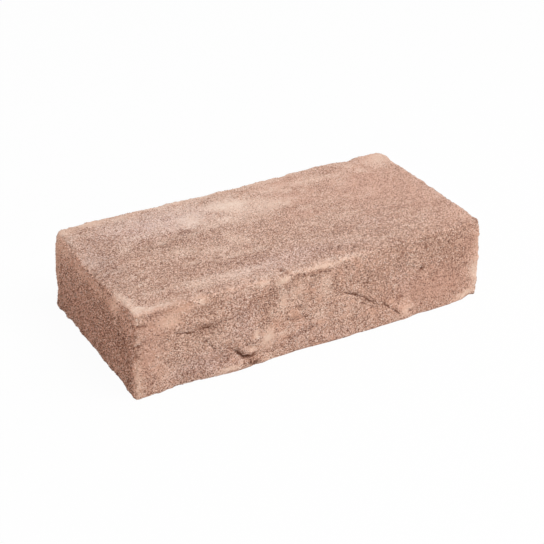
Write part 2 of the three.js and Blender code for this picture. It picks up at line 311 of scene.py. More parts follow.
def block_grid(rows):
    """The skin of a block of rows of cells: its points, from -1 to 1, its quads and their side."""
    shape = [count + 1 for count in rows]
    lattice = np.stack(np.meshgrid(*map(np.arange, shape), indexing="ij"), -1).reshape(-1, 3)
    on_skin = ((lattice == 0) | (lattice == rows)).any(1)
    number = (np.cumsum(on_skin) - 1).reshape(shape)
    quads, sides = [], []
    for axis in range(3):
        for end in (0, -1):
            sheet = np.take(number, end, axis)
            corners = (sheet[:-1, :-1], sheet[1:, :-1], sheet[1:, 1:], sheet[:-1, 1:])
            quad = np.stack(corners, -1).reshape(-1, 4)
            if (end == 0) == (axis != 1):
                quad = quad[:, ::-1]
            quads.append(quad)
            sides.append(np.full(len(quad), 2 * axis - end))
    share = 2 * lattice[on_skin] / rows - 1
    share += np.array(GRID_CROWDING) * (np.sin(share * math.pi / 2) - share)
    return share, np.concatenate(quads), np.concatenate(sides)


LEFT_END, RIGHT_END, FRONT, BACK, BED, TOP = range(6)
share, quads, sides = block_grid(np.array(GRID_ROWS))
plain = share * HALF_BLOCK
spot = plain + [0, 0, BLOCK_MIDDLE]

radius = np.full(len(plain), float(ARRIS_RADIUS))
for _, place, reach, more in WORN_PLACES:
    radius += more * nearness(spot, place, reach)
inner = HALF_BLOCK - radius[:, None]
core = np.clip(plain, -inner, inner)
outward = plain - core
outward /= np.linalg.norm(outward, axis=1)[:, None]
arris = np.clip((1 - np.abs(outward).max(1)) / ARRIS_BEND, 0, 1)
behind_front = ((spot[:, 1] - FRONT_FACE) / FRONT_FADE).clip(0)
on_front = np.clip(-outward[:, 1], 0, 1) * np.exp(-behind_front ** 2)

proud = SWELL_HEIGHT * unevenness(plain, SWELL_LENGTH, SWELL_SHIFT)
proud += RIPPLE_HEIGHT * unevenness(plain, RIPPLE_LENGTH, RIPPLE_SHIFT)
proud += layered_noise(spot, LUMPS)
for _, place, reach, height in SWELLINGS:
    proud += height * nearness(spot, place, reach)
chips = layered_noise(spot, CHIPS)
rubbed = CHIP_RUB * np.clip(chips - CHIP_TOP, 0, 1)
proud += arris * (CHIP_HEIGHT * chips - rubbed + layered_noise(spot, CRUMBS))
proud += on_front * layered_noise(spot, LEDGES)

# How far each point is painted in shade, in the creases and the pits.
crevice = np.zeros(len(plain))
gap_offset = np.full(len(plain), NO_GAP)
gap_width = np.zeros(len(plain))
for _, route, half_width, depth, lip, gap in CREASES:
    distance, above, along = crease_distance(spot, route)
    fade = on_front * np.clip(np.minimum(along, 1 - along) / CREASE_RUN_OUT, 0, 1)
    valley = np.exp(-(distance / half_width) ** 2) * fade
    proud -= depth * valley
    over = np.exp(-((distance - 2 * half_width) / LIP_WIDTH) ** 2) * (above > 0)
    proud += lip * fade * over
    crevice = np.maximum(crevice, valley * min(1, depth / FULL_SHADE_DEPTH) ** SHADE_CURVE)
    nearest = distance < np.abs(gap_offset)
    gap_offset[nearest] = (np.sign(above) * distance)[nearest]
    gap_width[nearest] = (gap * fade * np.exp(-(distance / GAP_REACH) ** 4))[nearest]
for place, reach, depth in PITS:
    hollow = nearness(spot, place, reach)
    proud -= depth * hollow
    crevice = np.maximum(crevice, np.clip(PIT_SHADE * depth * hollow, 0, 1))

# Where the sand coat is missing and smooth clay shows: place, reach each way, strength.
BARE_PATCHES = [
    # Front face
    ((-97, -49, 20), (5, 8, 9), 0.45),
    ((-91.2, -49, 15.1), (4, 6, 3), 0.7),
    ((-88, -49, 30), (6, 6, 6), 0.1),
    ((-88, -49, 8), (7, 6, 7), 0.4),
    ((-87, -49, 39), (9, 6, 4.5), 0.9),
    ((-86, -49, 32), (8, 6, 9), 0.35),
    ((-84, -49, 39), (8, 6, 4), 0.8),
    ((-53, -49, 2.2), (4.6, 6, 1.4), 0.95),
    ((-39.3, -49, 10.6), (2.6, 6, 1.9), 0.8),
    ((-38.6, -49, 17.5), (1.9, 6, 2.8), 0.95),
    ((-30.9, -49, 14.3), (3.2, 6, 5), 1.0),
    ((-22, -49, 32.4), (2.8, 6, 5.5), 0.65),
    ((-21.6, -49, 43.6), (3.2, 5, 2), 1.0),
    ((-20, -49, 12.6), (5, 6, 2), 0.8),
    ((-4.6, -49, 15), (3, 6, 2), 0.5),
    ((4, -49, 34.6), (2.6, 6, 6), 0.55),
    ((26, -49, 27), (6, 6, 4), 0.35),
    ((28, -49, 11), (5, 6, 3.5), 0.4),
    ((45, -49, 13), (4, 6, 2.5), 0.6),
    ((48, -49, 9), (4, 6, 4), 0.4),
    ((50.4, -49, 41.1), (5, 6, 2.4), 0.4),
    ((52.3, -49, 7), (4.2, 6, 4), 0.8),
    ((86, -49, 26), (20, 6, 20), 0.28),
    # Front top arris
    ((-96, -47, 48), (9, 2.2, 1.7), 0.75),
    ((-80, -49, 44), (10, 6, 4), 0.95),
    ((-66, -49, 47), (5, 5, 3), 0.6),
    ((-33.2, -49, 46), (4.5, 3, 1.8), 0.8),
    ((6, -49.3, 46.3), (21, 2, 1.5), 0.65),
    # Front right upright arris and its corners: bare clay, with a painted highlight along the arris
    # where it catches the light
    ((97, -49, 3.2), (6, 9, 3), 0.9),
    ((101, -49, 12), (4, 9, 10), 0.6),
    ((101, -49, 28), (5, 9, 14), 0.5),
    ((102.5, -48, 24), (3, 4, 22), 0.8),
    ((104, -44, 20), (4, 9, 18), 0.5),
    # Top
    ((-63, -36, 48), (6, 3, 5), 0.25),
    ((-46, -35, 48), (4, 4, 5), 0.2),
    ((-36, -10, 48), (5, 9, 5), 0.2),
    ((-25, -6, 48), (6, 8, 5), 0.35),
    ((22, 22, 48), (5, 3, 5), 0.35),
    ((30, 38, 48), (18, 6, 5), 0.3),
    ((63, 26, 48), (5, 3, 5), 0.35),
    ((82, 38, 48), (8, 4, 4), 0.5),
    ((92, 40, 48), (14, 7, 5), 0.4),
    ((101, -36, 48), (4, 10, 5), 0.5),
    # Back top arris
    ((-98, 46, 47), (9, 5, 5), 0.75),
    ((-86, 46.5, 48), (13, 4, 4), 0.9),
    ((-70, 48, 48), (18, 3, 4), 0.5),
    ((-68, 45, 48), (14, 4, 5), 0.5),
    ((-40, 47, 48), (22, 3, 4), 0.5),
    ((-20, 46.5, 48), (90, 3, 4), 0.5),
    ((39, 48.5, 48), (8, 2.6, 4), 0.5),
    ((98, 45, 48), (11, 9, 6), 0.9),
    # Left end and its arrises
    ((-104, -45, 47.5), (2.4, 3.5, 1.6), 0.6),
    ((-104, -38, 38), (5, 8, 7), 0.5),
    ((-104, -28, 42), (5, 4.5, 4.5), 0.95),
    ((-104, -25.5, 40), (5, 4, 5), 0.85),
    ((-104, 0, 41), (6, 44, 6), 0.6),
    ((-104, 34, 43.5), (5, 6, 5), 0.5),
    ((-104, 44, 40), (6, 6, 6), 0.9),
    ((-104, 46.7, 36), (6, 4, 6), 0.7),
    ((-104, 48, 24), (5, 4, 26), 0.6),
    ((-102.5, -30, 47), (2.4, 5, 2), 0.35),
    ((-102.3, -49, 10), (1.8, 3, 13), 0.6),
    ((-102, -38, 48), (2.4, 9, 2), 0.35),
    ((-101, -28, 48), (2.4, 5, 2), 0.6),
]

# Where the clay fired cream, with pale sand on it: place, reach each way, strength.
CREAM_PATCHES = [
    # Front face
    ((-88, -49, 22), (8, 6, 12), 0.1),
    ((-86, -49, 40), (6, 6, 4), 0.4),
    ((-85, -49, 11), (8, 6, 6), 0.17),
    ((-70, -49, 24), (12, 6, 5), 0.15),
    ((-57, -49, 20), (10, 6, 5), 0.22),
    ((-53, -49, 2.2), (5, 6, 1.6), 0.9),
    ((-39.3, -49, 10.6), (2.6, 6, 1.9), 0.7),
    ((-38.6, -49, 17.5), (1.8, 6, 3), 0.75),
    ((-35, -49, 1.2), (2, 6, 1.4), 0.5),
    ((-30.9, -49, 14.3), (3.6, 6, 5.6), 0.95),
    ((-29, -49, 27), (2, 6, 3), 0.4),
    ((-27, -49, 1.6), (3.4, 6, 1.6), 0.5),
    ((-22, -49, 32.4), (3.5, 7, 7), 0.55),
    ((-21.6, -49, 43.6), (3.6, 5, 2.3), 1.0),
    ((-21, -49, 13), (6, 6, 2), 0.45),
    ((-15, -49, 34), (5, 6, 5), 0.35),
    ((-11, -49, 6), (5, 6, 3), 0.12),
    ((-9, -49, 24), (2.6, 6, 2.4), 0.3),
    ((-8, -49, 28), (10, 6, 2), 0.15),
    ((-8, -49, 41), (12, 6, 2), 0.3),
    ((0, -49, 18), (6, 6, 5), 0.3),
    ((4, -49, 34.6), (3.4, 6, 7), 0.55),
    ((18, -49, 18), (12, 6, 10), 0.12),
    ((48.1, -49, 22.2), (1.8, 5, 1.4), 0.3),
    ((52.6, -49, 6), (4, 6, 4.6), 0.6),
    ((58, -49, 34), (4, 6, 5), 0.3),
    # Front top arris
    ((-95, -46.6, 48), (11, 2.4, 1.6), 0.85),
    ((-69, -49, 45.6), (3, 5, 2), 0.7),
    ((-52, -49, 45), (6, 6, 3), 0.15),
    ((-40.7, -49, 44.5), (3, 5, 2), 0.4),
    ((-33.2, -49, 46), (5, 4, 2), 0.7),
    ((6, -49.3, 46.3), (21, 2, 1.6), 0.75),
    # Front right upright arris and its corners: cream clay, with a painted highlight along the
    # arris where it catches the light
    ((96, -49, 2.4), (8, 6, 2.6), 1.0),
    ((97, -45, 48), (6, 5, 5), 0.15),
    ((101, -49, 10.5), (2.4, 6, 4), 0.6),
    ((101, -49, 15), (3.4, 6, 11), 0.9),
    ((101.5, -49, 15), (3.2, 6, 12), 0.95),
    ((102.5, -48, 26), (3, 4, 22), 0.3),
    # Top
    ((-92, 6, 48), (9, 24, 5), 0.06),
    ((-90, -33, 48), (10, 8, 5), 0.15),
    ((-81, 12.2, 48), (4, 3, 5), 0.4),
    ((-76, 26, 48), (10, 8, 5), 0.2),
    ((-66, 36, 48), (9, 5, 5), 0.25),
    ((-65, -35, 48), (8, 4, 6), 0.25),
    ((-61.5, 9.5, 48), (4, 3, 5), 0.45),
    ((-54, 26, 48), (8, 5, 6), 0.5),
    ((-53.8, -16.2, 48), (4, 3, 5), 0.45),
    ((-53, -3, 48), (9, 5, 5), 0.25),
    ((-46, -34, 48), (6, 5, 6), 0.25),
    ((-37, -38, 48), (9, 4, 5), 0.2),
    ((-37, -10, 48), (6, 10, 6), 0.2),
    ((-36, 25, 48), (9, 8, 6), 0.95),
    ((-30, 36, 48), (34, 8, 5), 0.15),
    ((-29, 41, 48), (12, 5, 5), 0.35),
    ((-25, -6, 48), (6, 9, 6), 0.4),
    ((-22.8, 21.3, 48), (3.4, 2.4, 5), 0.8),
    ((-22, 16, 48), (16, 5, 6), 0.6),
    ((-9, 29, 48), (14, 11, 6), 1.0),
    ((-4, 27, 48), (14, 8, 5), 0.3),
    ((4.6, 35.5, 48), (4, 3, 5), 0.7),
    ((4.6, 36, 48), (5, 3, 5), 0.5),
    ((8, 24, 48), (12, 10, 6), 0.6),
    ((14, 20, 48), (12, 6, 5), 0.75),
    ((20, 18.8, 48), (4.5, 2.6, 5), 0.95),
    ((22, 36, 48), (20, 7, 6), 0.45),
    ((23, 22, 48), (4, 3, 5), 0.5),
    ((27, 7.4, 48), (6, 2, 5), 0.4),
    ((27, 31.5, 48), (4.5, 3, 5), 0.8),
    ((28.2, 33, 48), (4, 3, 5), 0.45),
    ((37.2, 28.5, 48), (3.6, 3, 5), 0.55),
    ((40, 36, 48), (20, 7, 5), 0.4),
    ((42.7, 32.5, 48), (4, 3, 5), 0.45),
    ((46, 40, 48), (12, 5, 6), 0.35),
    ((63, 26.8, 48), (4, 3, 5), 0.55),
    ((76, 41, 48), (5, 3, 5), 0.6),
    ((80.5, 33.4, 48), (4, 3, 5), 0.7),
    ((96, 39, 48), (12, 10, 5), 0.6),
    # Back top arris
    ((-84, 46, 48), (15, 4, 4), 0.7),
    ((-70, 46.5, 48), (6, 3, 4), 0.5),
    ((-68, 45, 48), (14, 4, 5), 0.6),
    ((-42, 47.5, 48), (26, 2.4, 4), 0.35),
    ((-30, 45.6, 48), (7, 3, 4), 0.4),
    ((-20, 46.5, 48), (90, 3, 4), 0.45),
    ((-4, 47, 48), (10, 2.4, 4), 0.35),
    ((39, 48, 48), (5, 3, 4), 0.5),
    ((98, 45, 48), (8, 7, 6), 0.55),
    # Left end and its arrises
    ((-104, -47.4, 32), (3, 2.4, 2.4), 0.5),
    ((-104, -46, 43.5), (3, 3, 3), 0.6),
    ((-104, -45, 47.5), (2.4, 3.5, 1.6), 0.9),
    ((-104, -28, 43), (5, 4.5, 3.6), 0.7),
    ((-104, -25.5, 40), (5, 4, 5), 0.9),
    ((-104, 5, 42), (6, 42, 4.5), 0.2),
    ((-104, 36, 42.5), (5, 8, 6), 0.55),
    ((-104, 48, 24), (5, 4, 26), 0.35),
    ((-102.5, -49, 9), (1.6, 3, 11), 0.5),
    ((-102.5, -30, 47), (3, 6, 2.4), 0.75),
    ((-102, 44, 45), (6, 6, 7), 0.7),
    ((-101.5, -38, 48), (3.4, 9, 3), 0.7),
    ((-101, -28, 48), (2.4, 5, 2), 0.5),
    ((-100.7, -43.5, 48), (3, 3, 3), 1.0),
]

# Where the sand is greyer.
GREY_PATCHES = [
    ((-74, -49, 11), (5, 6, 4), 1.0),
    ((-66, -49, 8), (20, 8, 8), 0.9),
    ((-44, -49, 28), (8, 8, 14), 0.8),
    ((-10, -49, 10), (18, 6, 9), 0.5),
    ((6, -49, 3), (24, 8, 4), 0.5),
    ((52, -49, 22), (8, 6, 9), 0.5),
    ((-96, 10, 48), (8, 20, 6), 0.6),
    ((-58, 29, 48), (36, 14, 6), 1.0),
    ((-10, -36, 48), (34, 9, 6), 0.7),
    ((52, -22, 48), (12, 6, 5), 0.5),
    ((-104, 18, 14), (6, 36, 13), 0.3),
]

# Where the clay and its sand are painted darker: painted shade under the fold, in the notch, round
# the pits and in hollows of the relief, and darker clay and sand elsewhere.
DARK_AND_SHADED_PATCHES = [
    # Front face
    ((-99.7, -49, 40.3), (2.2, 4, 1.3), 0.8),
    ((-99, -49, 32.2), (1.6, 4, 1.4), 0.6),
    ((-99, -49, 22), (5, 6, 6), 0.3),
    ((-98, -49, 14), (2.6, 6, 4), 0.35),
    ((-96.5, -49, 2.1), (4, 6, 1.6), 0.25),
    ((-95.5, -49, 8), (4.5, 6, 4), 0.3),
    ((-92.6, -49, 33.2), (1.6, 6, 1.2), 0.5),
    ((-88.6, -49, 32.8), (2, 6, 1.2), 0.6),
    ((-76, -49, 14), (8, 6, 6), 0.12),
    ((-74, -49, 6), (9, 6, 4), 0.4),
    ((-66.5, -49, 2.1), (3.5, 6, 2), 0.4),
    ((-65, -49, 29.7), (5.6, 5, 2.8), 1.0),
    ((-53, -49, 9), (6, 6, 4), 0.3),
    ((-51, -49, 20), (6, 6, 4), 0.14),
    ((-44, -49, 34), (6, 6, 2.6), 0.6),
    ((-43, -49, 18), (3, 6, 5), 0.35),
    ((-41, -49, 4), (3, 6, 2.6), 0.55),
    ((-38.2, -49, 1.5), (2.4, 6, 1.6), 0.9),
    ((-34, -49, 36), (7, 6, 6), 0.35),
    ((-31.5, -49, 22), (3.4, 6, 4), 0.6),
    ((-30, -49, 30), (2.6, 6, 5), 0.6),
    ((-29.3, -49, 39.9), (3, 6, 3.4), 0.55),
    ((-25.5, -49, 20), (2.5, 6, 2), 0.5),
    ((-18, -49, 9), (4.5, 6, 1.6), 0.5),
    ((-13, -49, 42.3), (8, 6, 2), 0.8),
    ((-13, -49, 25.4), (3, 6, 1.6), 0.4),
    ((-12, -49, 20), (7, 6, 1.6), 0.35),
    ((-6.3, -49, 28.8), (2.2, 6, 1.2), 0.7),
    ((-5, -49, 13), (4, 6, 2), 0.4),
    ((-2.7, -49, 24.7), (2.4, 6, 1.6), 0.5),
    ((0, -49, 43), (10, 5, 2.2), 0.7),
    ((0, -49, 3), (6, 6, 2.4), 0.25),
    ((7.3, -49, 1.1), (3.4, 6, 1.8), 1.0),
    ((9, -49, 34.5), (2.4, 6, 5), 0.5),
    ((36, -49, 30), (9, 6, 7), 0.2),
    ((40, -49, 26), (6, 6, 5), 0.25),
    ((42, -49, 19), (9, 6, 7), 0.35),
    ((43, -49, 22), (4, 6, 2.6), 0.35),
    ((50.4, -49, 13.9), (2.4, 6, 2.6), 0.8),
    ((55, -49, 34), (9, 6, 8), 0.25),
    ((60.6, -49, 33), (4, 6, 3), 0.4),
    ((64, -49, 26), (3.6, 6, 2), 0.4),
    ((64, -49, 17), (24, 6, 8), 0.25),
    ((68, -49, 40), (9, 6, 5), 0.2),
    ((79, -49, 19), (3, 6, 5), 0.3),
    ((86, -49, 22), (14, 6, 11), 0.42),
    ((88, -49, 34), (14, 6, 9), 0.3),
    # Front top arris
    ((-91, -49, 45.2), (8, 5, 1.6), 0.6),
    ((77, -46, 46.5), (10, 5, 3.4), 0.3),
    ((83, -49, 45), (1.2, 4, 1.6), 0.8),
    ((91.6, -49, 46.4), (1, 4, 2.2), 0.9),
    # Front right upright arris and its corners
    ((96.8, -49, 46.4), (2.2, 4, 1), 0.7),
    ((103, -44, 46), (4, 6, 4), 0.4),
    # Top
    ((-93, 0, 48), (10, 28, 5), 0.2),
    ((-74, -42, 48), (10, 5, 5), 0.25),
    ((-64, 6, 48), (16, 5, 5), 0.35),
    ((-58, -21, 48), (18, 5, 5), 0.15),
    ((-44.8, 12.3, 48), (3.6, 3, 5), 0.8),
    ((-44, -27, 48), (9, 5, 5), 0.2),
    ((-39.8, -18.8, 48), (4, 2.4, 5), 0.5),
    ((-20, -28, 48), (16, 5, 5), 0.25),
    ((-6.2, 11.8, 48), (1.6, 1.2, 5), 0.7),
    ((14, -37, 48), (14, 6, 5), 0.3),
    ((15.4, 12.4, 48), (3, 3, 5), 0.5),
    ((38, -24, 48), (14, 6, 5), 0.32),
    ((42, -38, 48), (24, 12, 5), 0.2),
    ((70, -10, 48), (22, 8, 5), 0.12),
    ((90, -22, 48), (10, 8, 5), 0.15),
    # Left end and its arrises
    ((-104, -42, 12), (5, 8, 14), 0.35),
    ((-104, -34, 22), (5, 11, 13), 0.5),
    ((-104, -18, 28.5), (6, 9, 3), 0.3),
    ((-104, -16, 28), (5, 26, 12), 0.35),
    ((-104, -10, 36), (5, 10, 6), 0.2),
    ((-104, 10, 14), (6, 50, 16), 0.25),
    ((-102.2, -49, 30.2), (1.6, 4, 1.2), 0.9),
    ((-102, -49, 41), (1.8, 4, 1.4), 0.8),
    ((-101, -49, 30.4), (3, 4, 2.2), 0.4),
]

# Where the clay and its sand fired pinker and more even.
PINK_PATCHES = [
    ((-96, -49, 30), (8, 8, 24), 0.8),
    ((50, -49, 8), (10, 6, 7), 0.5),
    ((75, -49, 14), (26, 8, 12), 1.0),
    ((97, -49, 35), (8, 8, 12), 0.7),
    ((20, 4, 48), (16, 7, 6), 0.6),
    ((30, 22, 48), (22, 14, 6), 0.8),
    ((30, 38, 48), (22, 9, 6), 0.9),
    ((75, 15, 48), (34, 30, 8), 0.9),
    ((88, 42, 48), (16, 8, 6), 0.8),
    ((92, 0, 48), (16, 44, 6), 0.8),
    ((92, 6, 48), (10, 10, 8), 0.6),
    ((86, 44, 48), (6, 5, 8), 0.8),
    ((-104, 10, 14), (8, 40, 14), 0.5),
]

# Where the sand lies in clumps, with clay between them.
CLUMPED_PLACES = [
    ((-48, -49, 8), (10, 8, 8), 0.7),
    ((-2, -49, 24), (36, 8, 22), 1.0),
    ((30, -49, 10), (20, 8, 8), 0.8),
    ((59, -49, 25), (5, 6, 4), 1.0),
    ((0, -49, 48), (100, 6, 4), 0.6),
]

# How the coat varies, as layers of random unevenness, and how strongly.
RAGGEDNESS = np.array([2.4, 1.6, 1.6])  # how far the outlines of patches stray each way
RAGGED_LENGTH = 9
FINE_RAGGEDNESS = 0.8
FINE_RAGGED_LENGTH = 3
STREAKS = [(1, (22, 5, 7), 33), (0.6, (9, 2.6, 3), 34)]
CLUMPS = [(1, 3.4, 35), (0.7, 1.7, 36)]
WEAR = [(0.6, 17, 31), (0.4, 5, 32)]
WEAR_LEAST = 0.05
CREAM_STREAKS = 0.2
SAND_STREAKS = 0.06
PATCH_CLUMPS = 0.35
BAREST_CLUMPS = 1.2
SAND_CLUMPS = 0.6
LEAST_CLUMPED = 0.3
LEAST_BARE = 0.1
SAND_LOST_WHERE_BARE = 0.72
SAND_LOST_WHERE_CREAM = 0.4
SAND_LOST_IN_CREVICES = 0.8
THINNEST_SAND = 0.08
THICKEST_SAND = 1.4
COAT_RELIEF = 0.11
COAT_RELIEF_LEAST = 0.4


def cover(patches, seed):
    """How far a set of patches covers each point, from 0 to 1, with ragged outlines."""
    seeds = range(seed, seed + 6)
    shift = np.stack([lattice_noise(spot, RAGGED_LENGTH, one) for one in seeds[:3]], 1)
    fine = np.stack([lattice_noise(spot, FINE_RAGGED_LENGTH, one) for one in seeds[3:]], 1)
    at = spot + RAGGEDNESS * shift + FINE_RAGGEDNESS * fine
    total = np.zeros(len(spot))
    for place, reach, strength in patches:
        total = np.maximum(total, strength * nearness(at, place, reach))
    return total


streaks = layered_noise(spot, STREAKS)
clumps = layered_noise(spot, CLUMPS)
clumped = np.clip(LEAST_CLUMPED + cover(CLUMPED_PLACES, seed=80), 0, 1)
cream = cover(CREAM_PATCHES, seed=40) + CREAM_STREAKS * streaks * outward[:, 2] ** 2
cream = np.clip(cream, 0, 1)
bare = cover(BARE_PATCHES, seed=20) * np.clip(1 + PATCH_CLUMPS * clumps, 0, BAREST_CLUMPS)
worn = arris * (layered_noise(spot, WEAR) - WEAR_LEAST)
bare = np.clip(np.maximum(bare, worn), 0, 1)
sand = 1 - SAND_LOST_WHERE_BARE * np.clip((bare - LEAST_BARE) / (1 - LEAST_BARE), 0, 1)
sand += SAND_STREAKS * streaks
sand *= (1 - SAND_LOST_WHERE_CREAM * cream) * (1 + SAND_CLUMPS * clumped * clumps)
sand = np.clip(sand, THINNEST_SAND, THICKEST_SAND) * (1 - SAND_LOST_IN_CREVICES * crevice)
grain_relief = layered_noise(spot, GRAIN_RELIEF)
proud += COAT_RELIEF * np.clip(sand, COAT_RELIEF_LEAST, 1) * grain_relief

shaped = core + outward * (radius + proud)[:, None]
shaped[:, 2] += BLOCK_MIDDLE
for _, place, reach, drop in SLUMPS:
    shaped[:, 2] -= drop * nearness(spot, place, reach)
lean = MOULD_TAPER * (1 - shaped[:, 2] / BLOCK_HEIGHT)
shaped[:, :2] *= 1 + lean[:, None] / HALF_BLOCK[:2]

# The bed was struck off flat. Its torn sand coat leaves hollows in it, but nothing below it.
BED_HOLLOWS = [(1, (16, 5, 5), 10)]
BED_HOLLOW_DEPTH = 0.35
BED_GRAIN = 0.6
BED_MARGIN = 0.05  # the share of the bed, beside its arrises, over which the hollows fade out
FACING_DOWN = -0.999
bed_hollows = np.abs(layered_noise(spot, BED_HOLLOWS) + BED_GRAIN * grain_relief)
from_edge = 1 - np.abs(share[:, :2]).max(1)
inside = (outward[:, 2] < FACING_DOWN) * np.clip(from_edge / BED_MARGIN, 0, 1)
shaped[:, 2] = np.maximum(shaped[:, 2], BED_HOLLOW_DEPTH * bed_hollows * inside)

# The clay and its sand fill the box of the CAD node together.
COAT_DEPTH = 0.15
low, high = (np.array(corner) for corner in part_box("brick"))
low = low + COAT_DEPTH * MM
high = high - COAT_DEPTH * MM
least, most = shaped.min(0), shaped.max(0)
shaped = low + (shaped - least) * (high - low) / (most - least)

brick_mesh = bpy.data.meshes.new("brick_block")
brick_mesh.from_pydata(shaped.tolist(), [], quads.tolist())
brick_mesh.shade_smooth()
brick = bpy.data.objects.new("brick_block", brick_mesh)
bpy.context.scene.collection.objects.link(brick)

masks = {
    "sand": sand,
    "crevice": crevice,
    "cream": cream,
    "grey": cover(GREY_PATCHES, seed=50),
    # The dark mask: painted shade under the fold, in the notch and round the pits, and darker clay
    # and sand elsewhere.
    "dark": cover(DARK_AND_SHADED_PATCHES, seed=60),
    "pink": cover(PINK_PATCHES, seed=70),
    "upright": 1 - outward[:, 2] ** 2,
    "left_end": np.clip(-outward[:, 0], 0, 1) ** 2,
    "gap_offset": gap_offset,
    "gap_width": gap_width,
}
for name, values in masks.items():
    layer = brick_mesh.attributes.new(name, "FLOAT", "POINT")
    layer.data.foreach_set("value", values.astype(np.float32))
side_layer = brick_mesh.attributes.new("side", "INT", "FACE")
side_layer.data.foreach_set("value", sides.astype(np.int32))

# The finish is laid out flat like an opened box: the long faces in one column, the ends beside.
ATLAS_SIZE = 326
ATLAS_GAP = 3
SIDE_AXES = {FRONT: [0, 2], BACK: [0, 2], BED: [0, 1], TOP: [0, 1]}
flat = np.zeros((len(quads), 4, 2))
row = ATLAS_GAP
for side in (FRONT, BACK, BED, TOP):
    axes = SIDE_AXES[side]
    chosen = sides == side
    flat[chosen] = (plain + HALF_BLOCK)[quads[chosen]][:, :, axes] + [ATLAS_GAP, row]
    row += 2 * HALF_BLOCK[axes[1]] + ATLAS_GAP
row = ATLAS_GAP
for side in (LEFT_END, RIGHT_END):
    chosen = sides == side
    beside = [2 * HALF_BLOCK[0] + 2 * ATLAS_GAP, row]
    flat[chosen] = (plain + HALF_BLOCK)[quads[chosen]][:, :, [1, 2]] + beside
    row += 2 * HALF_BLOCK[2] + ATLAS_GAP
uv_map = brick_mesh.uv_layers.new(name="OFBake")
uv_map.data.foreach_set("uv", (flat / ATLAS_SIZE).astype(np.float32).ravel())


class Signal:
    """An output of a node, in a material or in Geometry Nodes. Arithmetic adds Math nodes."""

    def __init__(self, tree, socket=None):
        self.tree = tree
        self.socket = socket

    def node(self, kind, settings, sockets, output=0):
        """Adds a node, sets it, then gives its sockets values or links, and returns an output."""
        made = self.tree.nodes.new(kind)
        for name, value in settings.items():
            if name == "stops":
                ramp = made.color_ramp.elements
                while len(ramp) < len(value):
                    ramp.new(1)
                for stop, (place, colour) in zip(ramp, value):
                    stop.position = place
                    stop.color = (*colour, 1)
            else:
                setattr(made, name, value)
        for name, value in sockets.items():
            if isinstance(value, Signal):
                self.tree.links.new(value.socket, made.inputs[name])
            else:
                made.inputs[name].default_value = value
        return Signal(self.tree, made.outputs[output])

    def math(self, operation, *terms):
        return self.node("ShaderNodeMath", {"operation": operation}, dict(enumerate(terms)))

    def __add__(self, other):
        return self.math("ADD", self, other)

    def __sub__(self, other):
        return self.math("SUBTRACT", self, other)

    def __rsub__(self, other):
        return self.math("SUBTRACT", other, self)

    def __mul__(self, other):
        return self.math("MULTIPLY", self, other)

    def __truediv__(self, other):
        return self.math("DIVIDE", self, other)

    def __rtruediv__(self, other):
        return self.math("DIVIDE", other, self)

    def __lt__(self, other):
        return self.math("LESS_THAN", self, other)

    def __abs__(self):
        return self.math("ABSOLUTE", self)

    __radd__ = __add__
    __rmul__ = __mul__

    def clamp(self):
        return self.node("ShaderNodeClamp", {}, {"Value": self})

    def blend(self, colour, other, blend_type="MIX"):
        """A colour that goes to the other one as this signal goes from 0 to 1."""
        settings = {"data_type": "RGBA", "blend_type": blend_type}
        return self.node("ShaderNodeMix", settings, {"Factor": self, 6: colour, 7: other}, 2)


def new_material(name, **constants):
    """A material with one Principled shader, and its constants set on the shader's sockets."""
    material = bpy.data.materials.new(name)
    material.use_nodes = True
    shader = material.node_tree.nodes["Principled BSDF"]
    for socket, value in constants.items():
        shader.inputs[socket.replace("_", " ")].default_value = value
    return material, shader, Signal(material.node_tree)


# The clay's finish: its colours, how fine each pattern is, and how strongly each one acts.
PEACH_CLAY = (0.74, 0.47, 0.36, 1)
CREAM_CLAY = (0.87, 0.70, 0.585, 1)
PINK_CLAY = (0.69, 0.415, 0.325, 1)
DARK_AND_SHADE_TINT = (0.78, 0.67, 0.62, 1)
GREY_TINT = (0.985, 1.02, 1.105, 1)
STAINED_CLAY = (0.86, 0.78, 0.72, 1)
# The colour of the painted shade in the creases, the pits and the hairline gaps.
SHADED_CLAY = (0.105, 0.028, 0.012, 1)
FACE_TINT = (1.03, 0.99, 0.96, 1)
# The left end is tinted warmer: painted colour of the shade that this end lies in.
LEFT_END_SHADE_TINT = (1.13, 1.0, 0.95, 1)
SAND_TONES = [
    (0.0, (0.125, 0.05, 0.032)),
    (0.25, (0.38, 0.21, 0.15)),
    (0.6, (0.65, 0.425, 0.33)),
    (1.0, (0.90, 0.68, 0.577)),
]
MATT = 0.15  # the specular level of dull fired clay and of its sand
CLAY_ROUGHNESS = 0.95
GRAIN_SMOOTHER = 0.2
GRAINS_PER_METRE = 2300
CLOUDS_PER_METRE = 45
STAINS_PER_METRE = 320
SAND_EDGES_PER_METRE = 650
CRUMBS_PER_METRE = 420
GAP_EDGES_PER_METRE = 700
GAP_BREAKS_PER_METRE = 190
CLOUDS_IN_TONE = 0.35
CREAM_IN_TONE = 0.26
GREY_IN_TONE = 0.06
DARK_AND_SHADE_IN_TONE = 0.32
CREAM_IN_SAND = 0.65
CREAM_IN_CLAY = 0.9
PINK_IN_SAND = 0.6
PINK_IN_CLAY = 0.8
PINK_LOST_WHERE_CREAM = 0.6
SAND_SHARPNESS = 1.5
SAND_THRESHOLD = 0.45
SAND_RAGGEDNESS = 1.3
SAND_LEAST = 0.25  # the share of fine sand that stays on bare clay
CREVICE_SHADE = 0.85
GAP_SHADE = 0.9
GAP_SOFTNESS = 1.5
GAP_RAGGEDNESS = 1.2
NEARLY_NOTHING = 0.01
GAP_CONTRAST = 2.2
GAP_BREAKS = 0.35
GRAIN_STEEPNESS = 1.4
CRUMB_RELIEF = 0.55
GAP_RELIEF = 2
BUMP_HEIGHT = 0.25 * MM
